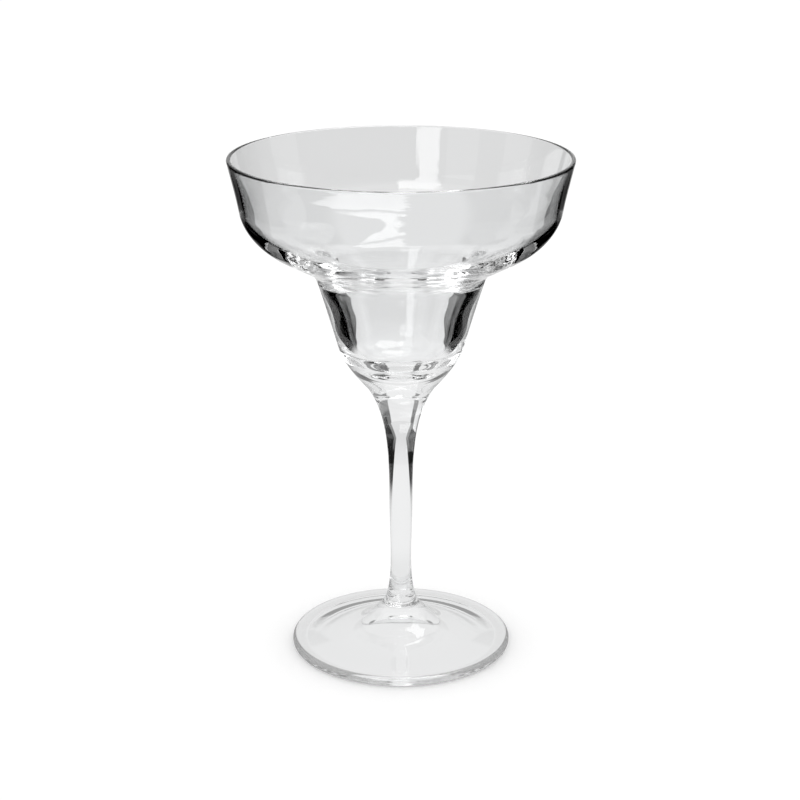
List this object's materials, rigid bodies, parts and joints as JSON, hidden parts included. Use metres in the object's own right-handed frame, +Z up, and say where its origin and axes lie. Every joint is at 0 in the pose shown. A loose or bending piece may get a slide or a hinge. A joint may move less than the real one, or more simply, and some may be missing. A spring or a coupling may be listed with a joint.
{
  "type": "margarita glass",
  "caption": "Clear stemmed margarita glass: wide rounded cup over a narrow well, solid drawn stem with a trumpet top, and a flat round foot.",
  "frame": {"origin": "centre of the foot's flat ring, on the plane that the glass stands on", "axes": "+Z up along the axis that the whole glass is turned about; +X and +Y are alike"},
  "size_m": [0.115, 0.115, 0.1747],
  "materials": {
    "bowl_glass": "clear blown glass, fire polished, faintly cool where it is thick",
    "stem_glass": "clear solid drawn glass, fire polished",
    "foot_glass": "clear pressed glass with a slightly wavy top face, domed hollow below"
  },
  "bodies": {
    "root": {"bowl": "bowl_glass", "stem": "stem_glass", "foot": "foot_glass"}
  },
  "joints": []
}
